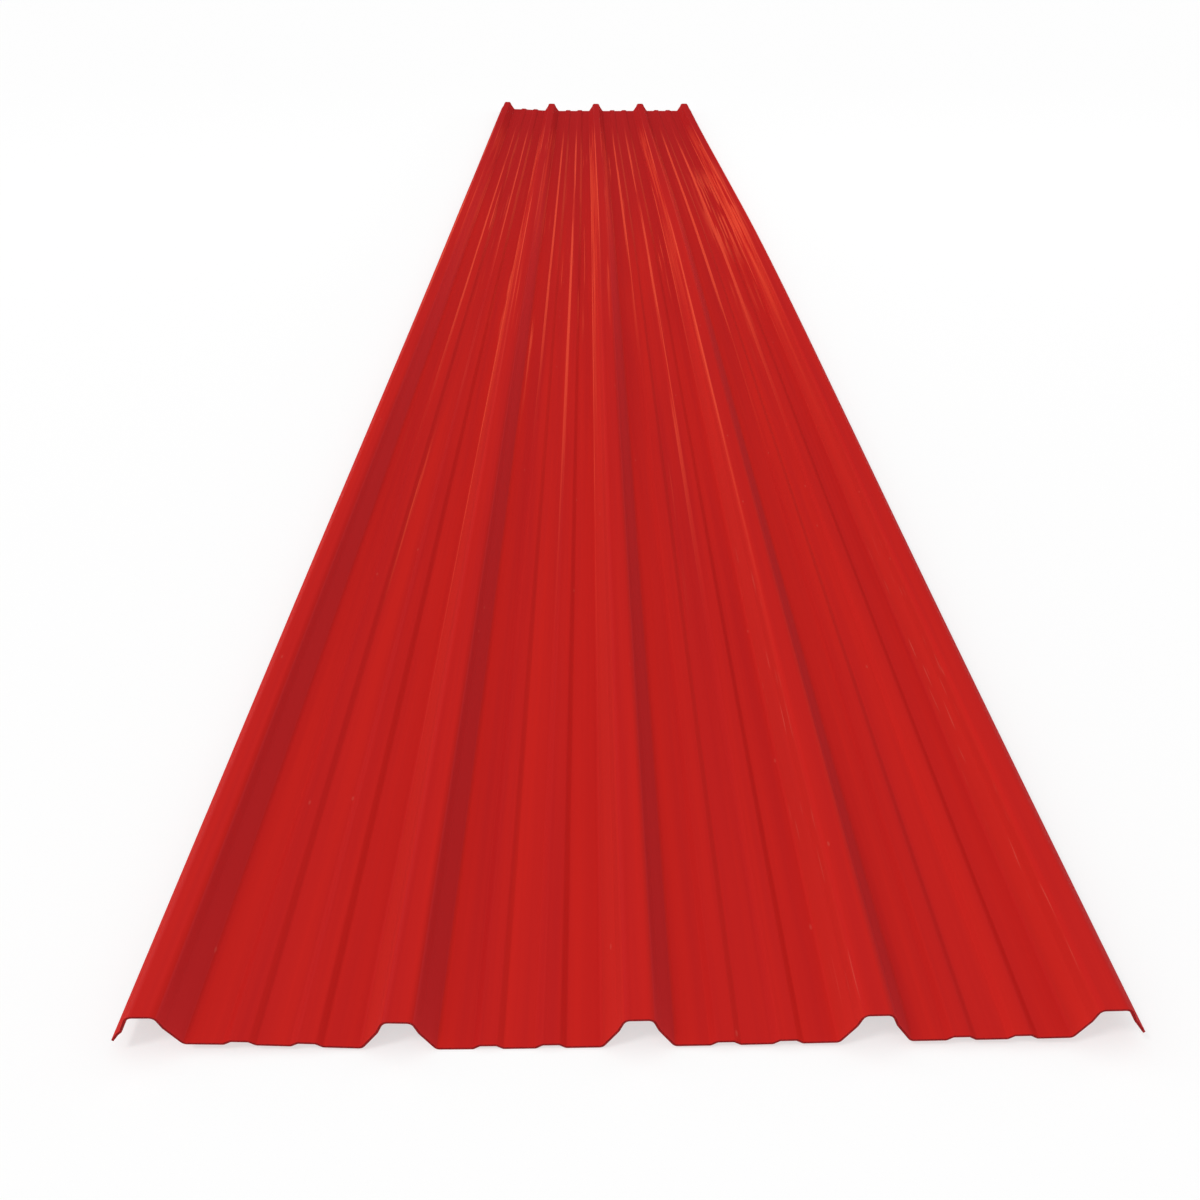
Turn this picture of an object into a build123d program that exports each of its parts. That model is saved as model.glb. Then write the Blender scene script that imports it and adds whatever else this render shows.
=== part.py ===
"""A uPVC trapezoidal roof sheet: one extruded length with five ribs, fluted pans and a side lap at each edge.

The section is drawn once, as the line of the weather face, thickened downwards and run along the length.
X goes across the sheet, Y along it and Z up. The pans lie on Z = 0 and the middle rib stands over the origin.
"""
import os

from build123d import *

# Sheet as it is sold
sheet_length = 5000
sheet_thickness = 2.0

# Main ribs, measured on the weather face
rib_count = 5
rib_pitch = 190
rib_height = 29
crown_width = 24
knee_width = 34.5
knee_height = 17
rib_base_width = 59

# Flutes that stiffen the pans between the ribs
flutes_per_pan = 2
flute_spacing = 50
flute_height = 3.3
flute_base_width = 25
flute_top_width = 14

# Inside radius of each kind of bend
crown_bend = 5.5
knee_bend = 6
foot_bend = 4
flute_bend = 2.5
ledge_bend = 1.5

# Side laps: the first rib goes under its neighbour and the last rib goes over the next sheet
lap_ease = 0.7
edge_lift = 3
ledge_top = 13
ledge_foot = 10


def bulge(inside_radius):
    """Radius on the weather face of a bend that bulges upwards, with the wall's thickness outside it."""
    return inside_radius + sheet_thickness


def upper_web(height):
    """Half the rib's width at a height, on the steep web between crown and knee."""
    run = (knee_width - crown_width) / 2
    return crown_width / 2 + run * (rib_height - height) / (rib_height - knee_height)


def lower_web(height):
    """Half the rib's width at a height, on the flatter web between knee and pan."""
    run = (rib_base_width - knee_width) / 2
    return knee_width / 2 + run * (knee_height - height) / knee_height


# Each side of a rib, from the crown down, as (half width, height above the pan, radius of the bend)
full_side = [
    (upper_web(rib_height), rib_height, bulge(crown_bend)),
    (lower_web(knee_height), knee_height, knee_bend),
    (lower_web(0), 0, foot_bend),
]
# The overlapping edge stops short of the pan of the sheet that it covers
over_side = [
    (upper_web(rib_height), rib_height, bulge(crown_bend)),
    (lower_web(knee_height), knee_height, knee_bend),
    (lower_web(edge_lift), edge_lift, 0),
]
# The covered edge steps in under the knee, which leaves a groove that stops water from creeping up the lap
under_side = [
    (upper_web(rib_height), rib_height, bulge(crown_bend)),
    (upper_web(ledge_top), ledge_top, ledge_bend),
    (lower_web(ledge_foot), ledge_foot, bulge(ledge_bend)),
    (lower_web(edge_lift), edge_lift, 0),
]


def rib(center, left_side, right_side, ease):
    """Corners of one rib from left to right, with both its webs moved out by the ease."""
    left = [(center - half - ease, height, radius) for half, height, radius in reversed(left_side)]
    right = [(center + half + ease, height, radius) for half, height, radius in right_side]
    return left + right


def flute(center):
    """Corners of one flute from left to right."""
    foot = flute_base_width / 2
    top = flute_top_width / 2
    return [
        (center - foot, 0, flute_bend),
        (center - top, flute_height, bulge(flute_bend)),
        (center + top, flute_height, bulge(flute_bend)),
        (center + foot, 0, flute_bend),
    ]


# The whole weather face, rib by rib, with the flutes of the pan to the right of each rib but the last
corners = []
last = rib_count - 1
for number in range(rib_count):
    rib_center = (number - last / 2) * rib_pitch
    if number == 0:
        corners += rib(rib_center, under_side, full_side, -lap_ease)
    elif number == last:
        corners += rib(rib_center, full_side, over_side, lap_ease)
    else:
        corners += rib(rib_center, full_side, full_side, 0)
    if number < last:
        pan_center = rib_center + rib_pitch / 2
        for place in range(flutes_per_pan):
            corners += flute(pan_center + (place - (flutes_per_pan - 1) / 2) * flute_spacing)

weather_points = [(x, sheet_thickness + height) for x, height, radius in corners]
bend_radii = [radius for x, height, radius in corners[1:-1]]

with BuildPart() as roof_sheet:
    with BuildSketch(Plane.XZ) as section:
        with BuildLine() as section_line:
            FilletPolyline(*weather_points, radius=bend_radii)
            offset(amount=sheet_thickness, side=Side.RIGHT, closed=True)
        make_face()
    extrude(amount=sheet_length / 2, both=True)

roof_sheet.part.label = "roof_sheet"
os.makedirs("parts", exist_ok=True)
export_step(roof_sheet.part, "parts/roof_sheet.step")
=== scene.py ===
# %% [markdown]
# A uPVC roof sheet
#
# This lesson dresses one long roof sheet. The real sheet is red uPVC pushed hot through a die, so the
# same section runs from end to end, and every mark that the die leaves is a line along the length. The
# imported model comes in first. It is the fixed frame: it says where the sheet lies and how long it is.

# %% Load the frame
import math

import bpy
import numpy as np
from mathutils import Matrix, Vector


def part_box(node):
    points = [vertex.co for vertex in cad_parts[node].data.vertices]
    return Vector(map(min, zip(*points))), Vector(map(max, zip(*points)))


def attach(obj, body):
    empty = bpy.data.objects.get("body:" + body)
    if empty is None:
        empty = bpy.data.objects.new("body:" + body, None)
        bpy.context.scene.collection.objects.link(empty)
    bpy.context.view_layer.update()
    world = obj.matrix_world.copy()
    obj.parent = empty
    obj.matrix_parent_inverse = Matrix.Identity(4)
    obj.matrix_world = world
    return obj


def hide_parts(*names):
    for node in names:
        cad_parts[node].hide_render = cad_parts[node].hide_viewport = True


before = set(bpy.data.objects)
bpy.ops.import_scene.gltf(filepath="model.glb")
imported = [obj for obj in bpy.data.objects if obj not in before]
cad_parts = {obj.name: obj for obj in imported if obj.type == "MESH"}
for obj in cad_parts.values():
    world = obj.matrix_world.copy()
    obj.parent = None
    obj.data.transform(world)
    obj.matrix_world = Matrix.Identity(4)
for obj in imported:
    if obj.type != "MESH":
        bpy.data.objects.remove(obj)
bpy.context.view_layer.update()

low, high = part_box("roof_sheet")
print("frame: sheet from", [round(v, 4) for v in low], "to", [round(v, 4) for v in high])

# %% [markdown]
# The section
#
# A roofer reads this section as five ribs with pans between them. Each rib has a flat crown, a steep
# upper web, a knee and a flatter lower web, and each pan has two low flutes that keep it from drumming.
# It could be traced as a long list of points, but then nobody could change it. Here each rib and flute is
# a few corners, worked out from the sizes that the maker's drawing would give, in millimetres.

# %% Sizes of the section
WALL = 2.0
RIB_COUNT, RIB_PITCH, RIB_HEIGHT = 5, 190, 29
CROWN_WIDTH, KNEE_WIDTH, KNEE_HEIGHT, BASE_WIDTH = 24, 34.5, 17, 59
FLUTE_SPACING, FLUTE_HEIGHT, FLUTE_BASE, FLUTE_TOP = 50, 3.3, 25, 14
CROWN_BEND, KNEE_BEND, FOOT_BEND, FLUTE_BEND, LEDGE_BEND = 5.5, 6, 4, 2.5, 1.5
LAP_EASE, EDGE_LIFT, LEDGE_TOP, LEDGE_FOOT = 0.7, 3, 13, 10


def upper_web(height):
    """Half the rib's width at a height, on the straight line from the crown's corner through the knee."""
    run = (KNEE_WIDTH - CROWN_WIDTH) / 2
    return CROWN_WIDTH / 2 + run * (RIB_HEIGHT - height) / (RIB_HEIGHT - KNEE_HEIGHT)


def lower_web(height):
    """Half the rib's width at a height, on the straight line from the knee to the pan."""
    run = (BASE_WIDTH - KNEE_WIDTH) / 2
    return KNEE_WIDTH / 2 + run * (KNEE_HEIGHT - height) / KNEE_HEIGHT


print("section: a rib is", 2 * lower_web(0), "mm wide at the pan")
print("section: a rib is", 2 * upper_web(RIB_HEIGHT), "mm wide at the crown")

# %% [markdown]
# Ribs and flutes as corners
#
# The two outer ribs are the side laps. The left one goes under the next sheet, so its free leg steps in
# below the knee, and the right one goes over the next sheet, so it is drawn out a little and its leg
# stops above the pan. Each row below is one corner: how far from the middle of the rib, how high, and the
# radius of its bend.

# %% Corners of the weather face
crown = (upper_web(RIB_HEIGHT), RIB_HEIGHT, CROWN_BEND + WALL)
knee = (lower_web(KNEE_HEIGHT), KNEE_HEIGHT, KNEE_BEND)
foot = (lower_web(0), 0, FOOT_BEND)
ledge = (upper_web(LEDGE_TOP), LEDGE_TOP, LEDGE_BEND)
ledge_end = (lower_web(LEDGE_FOOT), LEDGE_FOOT, LEDGE_BEND + WALL)
free_edge = (lower_web(EDGE_LIFT), EDGE_LIFT, 0)

full_side = np.array([crown, knee, foot])
under_side = np.array([crown, ledge, ledge_end, free_edge])
over_side = np.array([crown, knee, free_edge])


def rib(center, left_side, right_side, ease):
    """Mirror one side for the left, keep the other for the right, and move both out by the ease."""
    left = left_side[::-1] * (-1, 1, 1) + (center - ease, 0, 0)
    right = right_side + (center + ease, 0, 0)
    return np.vstack([left, right])


def flute(center):
    """Four corners of a low trapezoid: foot, top, top, foot."""
    across = np.array([-FLUTE_BASE, -FLUTE_TOP, FLUTE_TOP, FLUTE_BASE]) / 2 + center
    height = np.array([0, FLUTE_HEIGHT, FLUTE_HEIGHT, 0])
    bend = FLUTE_BEND + WALL * (height > 0)
    return np.column_stack([across, height, bend])


rib_centers = (np.arange(RIB_COUNT) - (RIB_COUNT - 1) / 2) * RIB_PITCH
pieces = []
for number, center in enumerate(rib_centers):
    if number == 0:
        pieces.append(rib(center, under_side, full_side, -LAP_EASE))
    elif number == RIB_COUNT - 1:
        pieces.append(rib(center, full_side, over_side, LAP_EASE))
    else:
        pieces.append(rib(center, full_side, full_side, 0))
    if number < RIB_COUNT - 1:
        pan_center = center + RIB_PITCH / 2
        pieces.append(flute(pan_center - FLUTE_SPACING / 2))
        pieces.append(flute(pan_center + FLUTE_SPACING / 2))
corners = np.vstack(pieces)
print("corners:", len(corners), "from", corners[0, 0], "to", corners[-1, 0], "mm across")

# %% [markdown]
# Bends
#
# Hot plastic doesn't hold a sharp fold, so each corner of the section is an arc. The highlights on the
# sheet live on these arcs. A bevel modifier could round them, but an arc worked out from its own radius
# and turn gives the true normal at every point as well, and the wide flat pans then shade as flat as they
# are.

# %% Round every corner
ARC_STEPS = 5


def round_corners(corners, steps):
    """Swap each inner corner for an arc that touches both its sides.

    The line arrives at one angle and leaves at another. The arc starts radius times tan(half the turn)
    before the corner, and its heading goes evenly from the first angle to the second while it moves round
    its centre. Gives the points and the upward normal at each, which is the heading turned a quarter to
    the left.
    """
    points, radii = corners[:, :2], corners[1:-1, 2]
    legs = np.diff(points, axis=0)
    heading = np.arctan2(legs[:, 1], legs[:, 0])
    turn = np.diff(heading)
    bend = radii * np.sign(turn)
    before = bend * np.tan(turn / 2)
    unit = np.column_stack([np.cos(heading), np.sin(heading)])
    start = points[1:-1] - unit[:-1] * before[:, None]
    share = np.linspace(0, 1, steps + 1)
    angle = heading[:-1, None] + turn[:, None] * share
    swing_x = np.sin(angle) - np.sin(heading[:-1, None])
    swing_z = np.cos(heading[:-1, None]) - np.cos(angle)
    arcs = start[:, None] + bend[:, None, None] * np.stack([swing_x, swing_z], axis=-1)
    line = np.vstack([points[:1], arcs.reshape(-1, 2), points[-1:]])
    angles = np.concatenate([heading[:1], angle.ravel(), heading[-1:]])
    return line, np.column_stack([-np.sin(angles), np.cos(angles)])


weather_line, weather_normal = round_corners(corners, ARC_STEPS)
weather_line = weather_line + (0, WALL)
under_line = weather_line - WALL * weather_normal
developed = np.concatenate([[0], np.cumsum(np.linalg.norm(np.diff(weather_line, axis=0), axis=1))])
print("bends:", len(weather_line), "points,", round(developed[-1], 1), "mm if the section were pulled flat")

# %% [markdown]
# How the sheet lies
#
# A five metre sheet of plastic is limp and never lies quite flat. Long shallow waves stay in it from the
# stack, too slow to see as a shape, and only the shine tells of them. Its first pan stands up a little
# along the covered edge, and its near right corner has a slight curl, so that the cut end shows a shallow
# bow instead of a ruled line. Some ribs have opened and others closed a little, so the first pan is wider
# at the near end, and half way along the right edge runs in a long shallow bow. The part itself is
# straight, as the stock is drawn, and all of this is under two centimetres, so it is made here.

# %% Waves, a lifted edge, a curled corner and opened ribs
MILLIMETRE = 0.001
WAVE_HEIGHT = 0.0006
# Each wave: how many in a metre across, its length along in metres, its phase and its share of the height
WAVES = ((0, 1.70, 0.4, 0.40), (1.6, 1.10, 1.9, 0.25), (2.9, 0.83, 4.1, 0.20), (4.8, 2.40, 2.7, 0.15))
LEFT_LIFT, LEFT_FROM, LEFT_OVER = 0.008, -0.16, 0.20
CURL_LIFT, CURL_FROM, CURL_OVER, CURL_POWER, CURL_REACH = 0.009, -0.12, 0.50, 1.3, 2.2
RIBS_NEAR = (-0.0040, 0.0055, 0.0045, 0.0020, -0.0030)
RIBS_MIDDLE = (0.0, 0.0, 0.0055, 0.0110, 0.0165)
NEAR_REACH = 2.4


def smooth_step(share):
    """Three times the square less twice the cube, which leaves 0 and reaches 1 without a kink."""
    held = np.clip(share, 0, 1)
    return held * held * (3 - 2 * held)


def lie(across, along):
    """Height of the lying sheet above its straight shape, in metres.

    Four slow sine waves with different lengths across and along, each raised so that it never goes below
    zero. The left edge adds a smooth step over the first pan. The corner adds a power of the way across,
    which fades out along the length.
    """
    height = np.zeros(np.broadcast(across, along).shape)
    for per_metre_across, length, phase, share in WAVES:
        angle = 2 * math.pi * (per_metre_across * across + along / length) + phase
        height += WAVE_HEIGHT * share * (1 + np.sin(angle))
    height += LEFT_LIFT * smooth_step((LEFT_FROM - across) / LEFT_OVER)
    curl = np.clip((across - CURL_FROM) / CURL_OVER, 0, None) ** CURL_POWER
    return height + CURL_LIFT * curl * (1 - smooth_step((along - low.y) / CURL_REACH))


def opened(across, along):
    """How far the opened and closed ribs move a point to the right, in metres.

    Each rib has a shift at the near end, which fades out along the length, and a shift for half way along,
    which follows the square of half a sine wave. A point between two ribs takes its share of both.
    """
    ribs = rib_centers * MILLIMETRE
    from_near = along - low.y
    near = np.interp(across, ribs, RIBS_NEAR) * (1 - smooth_step(from_near / NEAR_REACH))
    return near + np.interp(across, ribs, RIBS_MIDDLE) * np.sin(math.pi * from_near / (high.y - low.y)) ** 2


probe_across, probe_along = np.linspace(low.x, high.x, 40), np.linspace(low.y, high.y, 201)[:, None]
raised = lie(probe_across, probe_along) / MILLIMETRE
moved = opened(probe_across, probe_along) / MILLIMETRE
print("lie: between", round(raised.min(), 2), "and", round(raised.max(), 2), "mm above the straight shape")
print("opened: between", round(moved.min(), 2), "and", round(moved.max(), 2), "mm to the right")

# %% [markdown]
# The sheet
#
# The section is one closed ring: along the weather face from left to right, back along the underside,
# with a narrow free edge at each side. It is carried along the length row by row, as the die does it, and
# the two sawn ends close it. A curve with a bevel would do the same, but a grid gives each face its
# normals and its place on the sheet in metres, so that the finish can tell across from along.

# %% Carry the section along the sheet
ROWS = 97

ring = np.vstack([weather_line, under_line[::-1]]) * MILLIMETRE
ring_normal = np.vstack([weather_normal, -weather_normal[::-1]])
face_points = len(weather_line)
ring_points = len(ring)
across = ring[:, 0]
along = np.linspace(low.y, high.y, ROWS)[:, None]

grid = np.empty((ROWS, ring_points, 3))
grid[..., 0] = across + opened(across, along)
grid[..., 1] = along
grid[..., 2] = ring[:, 1] + lie(across, along)


def rates(shape):
    """Change of a shape for each metre across and along, from a step of a millimetre to either side."""
    step_across = shape(across + MILLIMETRE, along) - shape(across - MILLIMETRE, along)
    step_along = shape(across, along + MILLIMETRE) - shape(across, along - MILLIMETRE)
    return step_across / (2 * MILLIMETRE), step_along / (2 * MILLIMETRE)


rise_x, rise_y = rates(lie)
open_x, open_y = rates(opened)
grid_normal = np.empty_like(grid)
grid_normal[..., 0] = (ring_normal[:, 0] - rise_x * ring_normal[:, 1]) / (1 + open_x)
grid_normal[..., 1] = -rise_y * ring_normal[:, 1] - open_y * grid_normal[..., 0]
grid_normal[..., 2] = ring_normal[:, 1]
grid_normal /= np.linalg.norm(grid_normal, axis=-1, keepdims=True)
print("grid:", grid.shape[0], "rows of", grid.shape[1], "points")

# %% Faces and the normals of their corners
column = np.arange(ring_points)
following = (column + 1) % ring_points
row = np.arange(ROWS - 1)[:, None] * ring_points
next_row = row + ring_points
skin = np.stack([row + column, row + following, next_row + following, next_row + column], axis=-1)

face_column = np.arange(face_points - 1)
mate = ring_points - 1 - face_column
near_end = np.stack([mate, mate - 1, face_column + 1, face_column], axis=-1)
far_end = near_end[:, ::-1] + (ROWS - 1) * ring_points

skin_normal = grid_normal.reshape(-1, 3)[skin]
first_x, first_z = weather_normal[0]
last_x, last_z = weather_normal[-1]
skin_normal[:, face_points - 1] = (last_z, 0, -last_x)
skin_normal[:, ring_points - 1] = (-first_z, 0, first_x)
near_normal = np.broadcast_to((0.0, -1.0, 0.0), near_end.shape + (3,))
far_normal = np.broadcast_to((0.0, 1.0, 0.0), far_end.shape + (3,))

faces = np.concatenate([skin.reshape(-1, 4), near_end, far_end])
normals = np.concatenate([part.reshape(-1, 3) for part in (skin_normal, near_normal, far_normal)])
is_end = np.arange(len(faces)) >= skin.shape[0] * skin.shape[1]
print("faces:", len(faces), "four-sided, so", 2 * len(faces), "triangles")

# %% Place of every corner on the sheet, in metres across and along
wall = WALL * MILLIMETRE
wide = developed[-1] * MILLIMETRE
around = np.concatenate([developed * MILLIMETRE, 2 * wide + wall - developed[::-1] * MILLIMETRE])
around_next = np.concatenate([around[1:], [around[-1] + wall]])
length_here = along - low.y
skin_place = np.empty(skin.shape + (2,))
skin_place[..., 0, 0] = skin_place[..., 3, 0] = around
skin_place[..., 1, 0] = skin_place[..., 2, 0] = around_next
skin_place[..., 0, 1] = skin_place[..., 1, 1] = length_here[:-1]
skin_place[..., 2, 1] = skin_place[..., 3, 1] = length_here[1:]


def end_place(end_faces):
    """An end's place is its own width and height, so that saw marks run across the cut."""
    return grid.reshape(-1, 3)[end_faces][..., [0, 2]]


all_places = (skin_place, end_place(near_end), end_place(far_end))
places = np.concatenate([part.reshape(-1, 2) for part in all_places])
print("places: weather face", round(wide, 3), "m across if pulled flat")
print("places: weather face", round(float(length_here[-1, 0]), 3), "m long")

# %% Make the piece and put it in the part's place
mesh = bpy.data.meshes.new("roof_sheet_skin")
mesh.from_pydata(grid.reshape(-1, 3).tolist(), [], faces.tolist())
mesh.polygons.foreach_set("material_index", is_end.astype(np.int32))
mesh.polygons.foreach_set("use_smooth", np.ones(len(faces), dtype=bool))
place_layer = mesh.uv_layers.new(name="place_on_sheet")
place_layer.uv.foreach_set("vector", places.astype(np.float32).ravel())
sideways = grid_normal[..., 0].astype(np.float32).ravel()
for name, values in (("slope", np.abs(sideways)), ("faces_right", np.clip(sideways, 0, 1))):
    mesh.attributes.new(name, "FLOAT", "POINT").data.foreach_set("value", values)
mesh.normals_split_custom_set(normals.tolist())
mesh.update()

sheet = bpy.data.objects.new("roof_sheet_skin", mesh)
bpy.context.scene.collection.objects.link(sheet)
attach(sheet, "root")
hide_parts("roof_sheet")
print("piece:", sheet.name, [round(v, 4) for v in sheet.dimensions])

# %% [markdown]
# Patterns that follow the sheet
#
# The colour goes right through this plastic, and the shine is its own skin, set against the die. A
# picture of the surface could carry all that shows on it, but it would blur close up and have one size
# for ever. Noise that is short across the sheet and very long along it keeps its edge. These helpers
# build such patterns from a few nodes.

# %% Small helpers for node materials
def new_material(name):
    """An empty node material, with its node tree and one surface shader."""
    material = bpy.data.materials.new(name)
    material.use_nodes = True
    tree = material.node_tree
    tree.nodes.clear()
    output = tree.nodes.new("ShaderNodeOutputMaterial")
    shader = tree.nodes.new("ShaderNodeBsdfPrincipled")
    tree.links.new(shader.outputs["BSDF"], output.inputs["Surface"])
    return material, tree, shader


def sheet_place(tree):
    """The place on the sheet, in metres across and along."""
    node = tree.nodes.new("ShaderNodeUVMap")
    node.uv_map = "place_on_sheet"
    return node.outputs["UV"]


def stored(tree, name):
    """A value that is stored on the points of the mesh."""
    node = tree.nodes.new("ShaderNodeAttribute")
    node.attribute_name = name
    return node.outputs["Fac"]


def stretch(tree, place, per_metre):
    """The place counted in so many steps to a metre across and so many to a metre along."""
    mapping = tree.nodes.new("ShaderNodeMapping")
    mapping.inputs["Scale"].default_value = (*per_metre, 1)
    tree.links.new(place, mapping.inputs["Vector"])
    return mapping.outputs["Vector"]


def stretched_noise(tree, place, per_metre, detail, roughness=0.5):
    """Noise with so many waves in a metre across and so many in a metre along."""
    noise = tree.nodes.new("ShaderNodeTexNoise")
    noise.noise_dimensions = "2D"
    noise.inputs["Scale"].default_value = 1.0
    noise.inputs["Detail"].default_value = detail
    noise.inputs["Roughness"].default_value = roughness
    tree.links.new(stretch(tree, place, per_metre), noise.inputs["Vector"])
    return noise.outputs["Fac"]


def fade(tree, source, span, result=(0, 1), smooth=True):
    """Carry a value from one span to another, held at both ends."""
    node = tree.nodes.new("ShaderNodeMapRange")
    node.interpolation_type = "SMOOTHSTEP" if smooth else "LINEAR"
    node.inputs["From Min"].default_value, node.inputs["From Max"].default_value = span
    node.inputs["To Min"].default_value, node.inputs["To Max"].default_value = result
    tree.links.new(source, node.inputs["Value"])
    return node.outputs["Result"]


def combine(tree, operation, first, *others):
    """One kind of sum or product over several values of the pattern."""
    for other in others:
        node = tree.nodes.new("ShaderNodeMath")
        node.operation = operation
        tree.links.new(first, node.inputs[0])
        tree.links.new(other, node.inputs[1])
        first = node.outputs[0]
    return first


def window(tree, source, rise, fall):
    """One between the end of the rise and the start of the fall, and zero outside both."""
    return combine(tree, "MULTIPLY", fade(tree, source, rise), fade(tree, source, fall, (1, 0)))


def blend(tree, share, first, second):
    """Mix two colours, each a fixed colour or the outcome of an earlier mix."""
    node = tree.nodes.new("ShaderNodeMix")
    node.data_type = "RGBA"
    tree.links.new(share, node.inputs["Factor"])
    for name, colour in (("A", first), ("B", second)):
        socket = [s for s in node.inputs if s.name == name and s.type == "RGBA"][0]
        if isinstance(colour, tuple):
            socket.default_value = (*colour, 1)
        else:
            tree.links.new(colour, socket)
    return [s for s in node.outputs if s.type == "RGBA"][0]


print("helpers ready")

# %% [markdown]
# Red uPVC
#
# The body colour is a strong red with slow bands along the length, where the flow in the die was a little
# richer or thinner. Over the far half it grows deeper, which is painted shade at the far end. The steep
# webs are a little paler, and those that face right, away from the sun, are turned toward plum, which is
# painted shade. One even red would look like paint, so two reds are mixed by a noise that is about sixty
# times slower along the sheet than across it.
# The webs are found by the slope, which is stored on the mesh.

# %% Body colour
RED = (0.562, 0.0122, 0.0082)
# Deeper red: the darker tone of the flow bands, and painted shade over the far half
RED_DEEP_AND_FAR_SHADE = (0.450, 0.0084, 0.0092)
WEB_PALE = (0.555, 0.0235, 0.0160)
# Plum tint: painted shade on the webs that face right
PLUM_SHADE = (0.550, 0.0205, 0.0225)
FLOW_WAVES, FLOW_DETAIL, FLOW_ROUGHNESS = (34, 0.55), 4, 0.62
FAR_SHADE_BETWEEN = (1.9, 4.6)
WEB_SLOPES = (0.58, 0.72)
WEB_PALE_SHARE, PLUM_SHADE_SHARE = 0.36, 0.85

red, tree, shader = new_material("red_upvc")
place = sheet_place(tree)
split = tree.nodes.new("ShaderNodeSeparateXYZ")
tree.links.new(place, split.inputs["Vector"])
on_across, on_along = split.outputs["X"], split.outputs["Y"]

bands = stretched_noise(tree, place, FLOW_WAVES, FLOW_DETAIL, FLOW_ROUGHNESS)
flow = fade(tree, bands, (0.30, 0.70), (0.28, 1), smooth=False)
# Painted shade: the red grows deeper toward the far end
before_far_end = fade(tree, on_along, FAR_SHADE_BETWEEN, (1, 0))
colour = blend(tree, combine(tree, "MULTIPLY", flow, before_far_end), RED_DEEP_AND_FAR_SHADE, RED)

steep = stored(tree, "slope")
webs = fade(tree, steep, WEB_SLOPES)
# The steep webs are a little paler, less so toward the far end
paler_webs = combine(tree, "MULTIPLY", fade(tree, steep, WEB_SLOPES, (0, WEB_PALE_SHARE)), before_far_end)
colour = blend(tree, paler_webs, colour, WEB_PALE)

faces_right = stored(tree, "faces_right")
# Painted shade: webs that face right, away from the sun, turn toward plum
plum_shade = combine(tree, "MULTIPLY", fade(tree, faces_right, WEB_SLOPES, (0, PLUM_SHADE_SHARE)), before_far_end)
colour = blend(tree, plum_shade, colour, PLUM_SHADE)
print("body colour:", len(tree.nodes), "nodes")

# %% [markdown]
# Bright streaks, painted highlights
#
# In the far half of the sheet many of the die lines are painted lighter and more orange, as painted
# highlights where they would catch the light. They are broad and soft on the webs, thin and bright on the
# flanks of the flutes, and rare on the flats, and they show mainly on slopes that don't face right. Each
# begins at its own distance from the near end, the thin ones first, and all of them stop short of the far
# end. Beside the last rib lies a patch of short dashes, as from rubbing against another sheet. They could
# be painted by hand, but the slope and the side that it faces are stored on the mesh, so a noise can be
# kept to its places.

# %% Painted highlights on the slopes and the flats, and one rubbed patch
# Painted highlight colours; the brighter one also colours the rubbed patch
HIGHLIGHT_STREAK = (0.655, 0.0430, 0.0200)
BRIGHT_HIGHLIGHT_AND_RUB = (0.740, 0.0640, 0.0290)
FLANK_SLOPES, RIGHT_SLOPES = (0.22, 0.40), (0.15, 0.40)
LINE_WAVES, GROUP_WAVES, START_WAVES, DASH_WAVES = (110, 0.75), (9, 0.7), (24, 0.1), (150, 1.5)
START_SPREAD = 0.8
BROAD_BEGIN, THIN_BEGIN, ALL_END = (1.4, 2.7), (1.0, 2.4), (3.95, 4.6)
TURNED_BETWEEN, TURNED_SHARE = (2.2, 3.2), 0.5
PATCH_ACROSS = 340
PATCH_HALF, PATCH_EDGE = 0.035, 0.030
PATCH_BEGIN, PATCH_END = (2.35, 2.75), (3.30, 3.75)

flanks = window(tree, steep, FLANK_SLOPES, WEB_SLOPES)
lines = stretched_noise(tree, place, LINE_WAVES, 3, 0.6)
groups = fade(tree, stretched_noise(tree, place, GROUP_WAVES, 1), (0.44, 0.66), (0.10, 1))
varied = stretched_noise(tree, place, START_WAVES, 1)
uneven = fade(tree, varied, (0.3, 0.7), (-START_SPREAD, START_SPREAD), smooth=False)
start = combine(tree, "ADD", on_along, uneven)
begins, thin_begins = fade(tree, start, BROAD_BEGIN), fade(tree, start, THIN_BEGIN)
ends = fade(tree, on_along, ALL_END, (1, 0))

not_right = fade(tree, faces_right, RIGHT_SLOPES, (1, 0))
any_side = fade(tree, on_along, TURNED_BETWEEN, (0, TURNED_SHARE))
turned = combine(tree, "MAXIMUM", not_right, any_side)
on_webs = combine(tree, "MULTIPLY", fade(tree, lines, (0.41, 0.60)), webs, turned, begins, ends)
# Painted highlights on the webs
colour = blend(tree, on_webs, colour, HIGHLIGHT_STREAK)

on_flanks = combine(tree, "MULTIPLY", fade(tree, lines, (0.32, 0.50)), flanks, turned)
on_flats = combine(tree, "MULTIPLY", fade(tree, lines, (0.63, 0.74)), groups)
thin = combine(tree, "MULTIPLY", combine(tree, "MAXIMUM", on_flanks, on_flats), thin_begins, ends)

patch_middle = float(np.interp(PATCH_ACROSS, weather_line[:, 0], developed)) * MILLIMETRE
patch_left, patch_right = patch_middle - PATCH_HALF, patch_middle + PATCH_HALF
patch_rise = (patch_left - PATCH_EDGE, patch_left)
patch_fall = (patch_right, patch_right + PATCH_EDGE)
patch_across = window(tree, on_across, patch_rise, patch_fall)
patch_along = window(tree, on_along, PATCH_BEGIN, PATCH_END)
dashes = fade(tree, stretched_noise(tree, place, DASH_WAVES, 2), (0.47, 0.57))
patch = combine(tree, "MULTIPLY", patch_across, patch_along, dashes)
# Painted highlights on flanks and flats, and the dashes of the rubbed patch
colour = blend(tree, combine(tree, "MAXIMUM", thin, patch), colour, BRIGHT_HIGHLIGHT_AND_RUB)
print("streaks: patch", round(patch_middle, 3), "m from the left edge, measured over the ribs")

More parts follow.
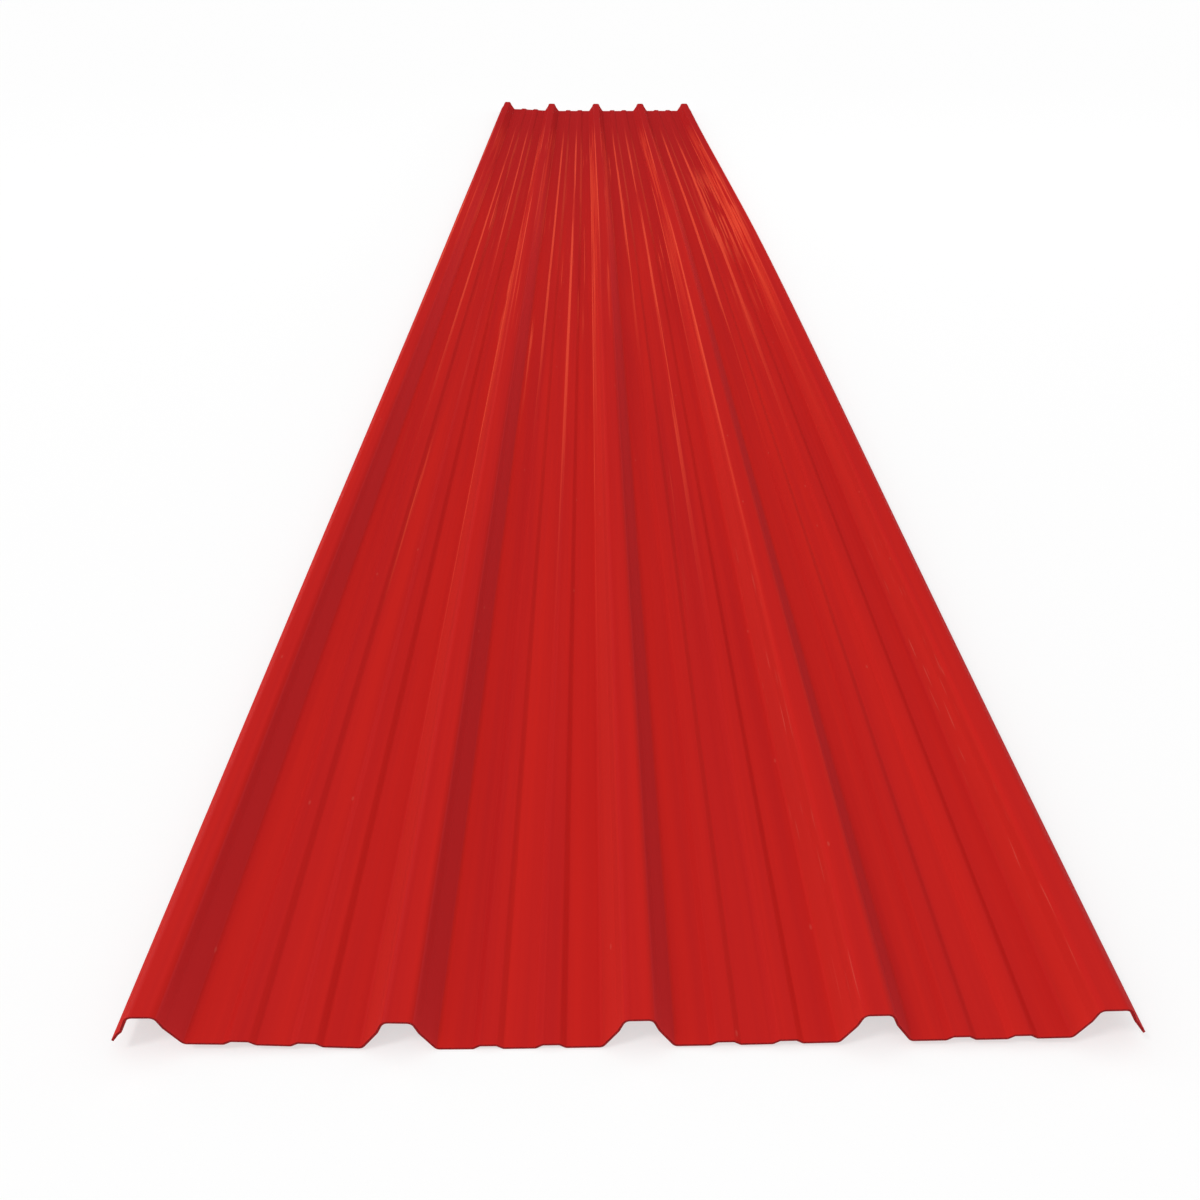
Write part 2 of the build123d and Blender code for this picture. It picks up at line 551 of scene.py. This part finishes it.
# %% [markdown]
# Specks and shine
#
# Handling leaves a few pale specks, about two millimetres wide and three times as long. They are the
# middles of the cells of a cell pattern, and most cells have none. By the near end the last two ribs have
# fine scratches, the peaks of a short noise. The shine is half gloss, and duller on the steep webs. Fine
# die lines change it a little from line to line and raise the surface by less than a tenth of a
# millimetre. All this could be cut into the mesh, but it would need far more faces than it is worth, so
# the material carries it.

# %% Specks, gloss and die lines
SPECK = (0.66, 0.14, 0.10)
SPECK_STRENGTH, SCRATCH_STRENGTH = 0.2, 0.3
SPECK_CELLS, SPECK_CHANCE, SPECK_EDGE = (24, 8), (0.88, 0.90), (0.015, 0.035)
SCRATCH_WAVES, SCRATCH_END, LAST_RIBS_FROM = (420, 9), (0.6, 1.0), (0.60, 0.64)
DIE_LINE_WAVES, DIE_LINE_STRENGTH, DIE_LINE_HEIGHT = (210, 0.6), 0.06, 0.0001
SHINE, DULL_SLOPES, WEB_DULLER = (0.54, 0.62), (0.45, 0.75), 0.40
PLASTIC_IOR, SHINE_LEVEL = 1.5, 0.12

cells = tree.nodes.new("ShaderNodeTexVoronoi")
cells.voronoi_dimensions = "2D"
cells.inputs["Scale"].default_value = 1.0
tree.links.new(stretch(tree, place, SPECK_CELLS), cells.inputs["Vector"])
chance = tree.nodes.new("ShaderNodeSeparateColor")
tree.links.new(cells.outputs["Color"], chance.inputs["Color"])
chosen = fade(tree, chance.outputs["Red"], SPECK_CHANCE, (0, SPECK_STRENGTH), smooth=False)
middles = fade(tree, cells.outputs["Distance"], SPECK_EDGE, (1, 0))
specks = combine(tree, "MULTIPLY", middles, chosen)
peaks = stretched_noise(tree, place, SCRATCH_WAVES, 1)
scratches = fade(tree, peaks, (0.70, 0.78), (0, SCRATCH_STRENGTH))
near_part = fade(tree, on_along, SCRATCH_END, (1, 0))
last_ribs = fade(tree, on_across, LAST_RIBS_FROM)
scratches = combine(tree, "MULTIPLY", scratches, webs, not_right, near_part, last_ribs)
colour = blend(tree, combine(tree, "MAXIMUM", specks, scratches), colour, SPECK)
tree.links.new(colour, shader.inputs["Base Color"])

fine = stretched_noise(tree, place, DIE_LINE_WAVES, 2)
gloss = fade(tree, fine, (0.3, 0.7), SHINE, smooth=False)
dulled = fade(tree, steep, DULL_SLOPES, (0, WEB_DULLER))
tree.links.new(combine(tree, "ADD", gloss, dulled), shader.inputs["Roughness"])
shader.inputs["IOR"].default_value = PLASTIC_IOR
shader.inputs["Specular IOR Level"].default_value = SHINE_LEVEL

die_lines = tree.nodes.new("ShaderNodeBump")
die_lines.inputs["Strength"].default_value = DIE_LINE_STRENGTH
die_lines.inputs["Distance"].default_value = DIE_LINE_HEIGHT
tree.links.new(fine, die_lines.inputs["Height"])
tree.links.new(die_lines.outputs["Normal"], shader.inputs["Normal"])
print("red:", len(tree.nodes), "nodes")

# %% [markdown]
# Sawn ends
#
# The sheet is cut to length with a fine saw, so the cut is dull, with fine marks across it. It is much
# darker than the skin, which is painted shade, as the cut face lies in shadow. It is a material of its own
# on the two end faces and needs no extra shape.

# %% Sawn ends
# Painted shade: both sawn colours are darkened, as the cut face lies in shadow
SAWN_IN_SHADE = (0.210, 0.0045, 0.0050)
SAW_MARK_IN_SHADE = (0.310, 0.0080, 0.0085)
SAW_WAVES, SAWN_ROUGHNESS, SAWN_SHINE = (900, 160), 0.8, 0.1

sawn, tree, shader = new_material("sawn_end")
marks = stretched_noise(tree, sheet_place(tree), SAW_WAVES, 2)
tree.links.new(blend(tree, fade(tree, marks, (0.4, 0.7)), SAWN_IN_SHADE, SAW_MARK_IN_SHADE), shader.inputs["Base Color"])
shader.inputs["Roughness"].default_value = SAWN_ROUGHNESS
shader.inputs["Specular IOR Level"].default_value = SAWN_SHINE

mesh.materials.append(red)
mesh.materials.append(sawn)
print("materials:", [m.name for m in mesh.materials])

# %% [markdown]
# The floor
#
# The sheet lies on a wide white floor. A white that comes from more light would wash out the red, so part
# of the white is the floor's own: what the camera sees, and what a shiny surface mirrors, is mixed with
# plain white. The rest still takes the light, so the sheet keeps its shadow, and the light that the floor
# throws back stays true.

# %% Pale floor
FLOOR_HALF = 60.0
FLOOR_WHITE = (0.97, 0.97, 0.97)
OWN_WHITE = 0.6

floor_mesh = bpy.data.meshes.new("floor")
floor_corners = np.array([(-1, -1, 0), (1, -1, 0), (1, 1, 0), (-1, 1, 0)]) * FLOOR_HALF
floor_mesh.from_pydata(floor_corners.tolist(), [], [(0, 1, 2, 3)])
floor = bpy.data.objects.new("floor", floor_mesh)
bpy.context.scene.collection.objects.link(floor)

paint, tree, shader = new_material("pale_floor")
shader.inputs["Base Color"].default_value = (*FLOOR_WHITE, 1)
shader.inputs["Roughness"].default_value = 1.0
shader.inputs["Specular IOR Level"].default_value = 0.0
white = tree.nodes.new("ShaderNodeEmission")
white.inputs["Color"].default_value = (1, 1, 1, 1)
rays = tree.nodes.new("ShaderNodeLightPath").outputs
seen = combine(tree, "MAXIMUM", rays["Is Camera Ray"], rays["Is Glossy Ray"], rays["Is Transmission Ray"])
own = tree.nodes.new("ShaderNodeMixShader")
tree.links.new(fade(tree, seen, (0, 1), (0, OWN_WHITE), smooth=False), own.inputs["Fac"])
tree.links.new(shader.outputs["BSDF"], own.inputs[1])
tree.links.new(white.outputs["Emission"], own.inputs[2])
tree.links.new(own.outputs["Shader"], tree.nodes["Material Output"].inputs["Surface"])
floor_mesh.materials.append(paint)
print("floor:", 2 * FLOOR_HALF, "m wide")

# %% [markdown]
# The light
#
# The hall is pale, more so at the left than at the right, but for its far wall, which is dark. Seen from
# the near end, every flat of the sheet mirrors that far wall, so the pans stay deep red, while light
# still falls on them from above, behind and the sides. One soft sun from high on the left makes the webs
# that face right darker than the pans. Two lamps far off to the sides look almost level across the sheet
# and lift its webs, and hardly touch the floor. A picture of a room could light the sheet as well, but
# each of these can be changed by itself.

# %% Pale hall with a dark far wall
DARK_TOWARD = Vector((0.0, 0.97, 0.24)).normalized()
DARK_WITHIN, PALE_BEYOND = 23, 53
PALE_LEFT, PALE_RIGHT, DARK_SHARE = 0.94, 0.80, 0.03

world = bpy.data.worlds.new("hall")
bpy.context.scene.world = world
world.use_nodes = True
tree = world.node_tree
tree.nodes.clear()
output = tree.nodes.new("ShaderNodeOutputWorld")
background = tree.nodes.new("ShaderNodeBackground")
background.inputs["Color"].default_value = (1, 1, 1, 1)
nearness = tree.nodes.new("ShaderNodeVectorMath")
nearness.operation = "DOT_PRODUCT"
nearness.inputs[1].default_value = DARK_TOWARD
toward = tree.nodes.new("ShaderNodeTexCoord").outputs["Generated"]
tree.links.new(toward, nearness.inputs[0])
sides = tree.nodes.new("ShaderNodeSeparateXYZ")
tree.links.new(toward, sides.inputs["Vector"])
pale = fade(tree, sides.outputs["X"], (-1, 1), (PALE_LEFT, PALE_RIGHT), smooth=False)
wall_span = (math.cos(math.radians(PALE_BEYOND)), math.cos(math.radians(DARK_WITHIN)))
far_wall = fade(tree, nearness.outputs["Value"], wall_span, (1, DARK_SHARE))
tree.links.new(combine(tree, "MULTIPLY", pale, far_wall), background.inputs["Strength"])
tree.links.new(background.outputs["Background"], output.inputs["Surface"])
print("hall: dark within", DARK_WITHIN, "degrees of the far wall's middle, pale beyond", PALE_BEYOND)


# %% Soft sun
KEY_TOWARD, KEY_LEVEL, KEY_SPREAD = (-0.50, -0.33, 0.80), 0.30, 12


def soft_sun(name, toward, level, spread):
    """A sun whose light comes from a direction; level is what it gives a surface that faces it, over pi."""
    lamp = bpy.data.lights.new(name, "SUN")
    lamp.energy = level * math.pi
    lamp.angle = math.radians(spread)
    holder = bpy.data.objects.new(name, lamp)
    holder.rotation_euler = Vector(toward).to_track_quat("Z", "Y").to_euler()
    bpy.context.scene.collection.objects.link(holder)
    return holder


key = soft_sun("left_key", KEY_TOWARD, KEY_LEVEL, KEY_SPREAD)
print("sun:", key.name)


# %% Two side beams across the middle of the sheet
BEAM_DISTANCE, BEAM_HEIGHT, BEAM_RADIUS = 15.0, 2.1, 1.2


def side_beam(name, across, along, height, level, spread):
    """A far spot lamp that looks across the sheet; level is what it gives on the middle line, over pi."""
    reach = math.hypot(across, height)
    lamp = bpy.data.lights.new(name, "SPOT")
    lamp.energy = level * math.pi * 4 * math.pi * reach ** 2
    lamp.spot_size = math.radians(spread)
    lamp.spot_blend = 1.0
    lamp.shadow_soft_size = BEAM_RADIUS
    holder = bpy.data.objects.new(name, lamp)
    holder.location = (across, along, height)
    holder.rotation_euler = Vector((across, 0, height)).to_track_quat("Z", "Y").to_euler()
    holder.visible_camera = False
    bpy.context.scene.collection.objects.link(holder)
    return holder


left_beam = side_beam("left_beam", -BEAM_DISTANCE, -0.6, BEAM_HEIGHT, 0.07, 28)
right_beam = side_beam("right_beam", BEAM_DISTANCE, 0.9, BEAM_HEIGHT, 0.28, 16)
print("beams:", left_beam.name, right_beam.name)

# %% [markdown]
# The camera
#
# It stands a step before the near end, at about the height of a table, and looks down along the sheet. It
# could be placed by eye, but its place, tilt and lens were fitted to the corners of the ribs at both ends,
# so that they fall where they do in the photograph.

# %% Camera
CAMERA_PLACE = (-0.0322, -3.1759, 0.7929)
CAMERA_DOWN, CAMERA_RIGHT = 29.559, 0.501
SENSOR_WIDTH, LENS_LENGTH, SEES_TO = 36, 37.0, 500

lens = bpy.data.cameras.new("camera")
lens.sensor_width = SENSOR_WIDTH
lens.lens = LENS_LENGTH
lens.clip_end = SEES_TO
camera = bpy.data.objects.new("camera", lens)
camera.location = CAMERA_PLACE
camera.rotation_euler = (math.radians(90 - CAMERA_DOWN), 0, math.radians(-CAMERA_RIGHT))
bpy.context.scene.collection.objects.link(camera)
bpy.context.scene.camera = camera
bpy.context.scene.view_settings.view_transform = "Standard"
print("camera:", [round(v, 3) for v in camera.location])
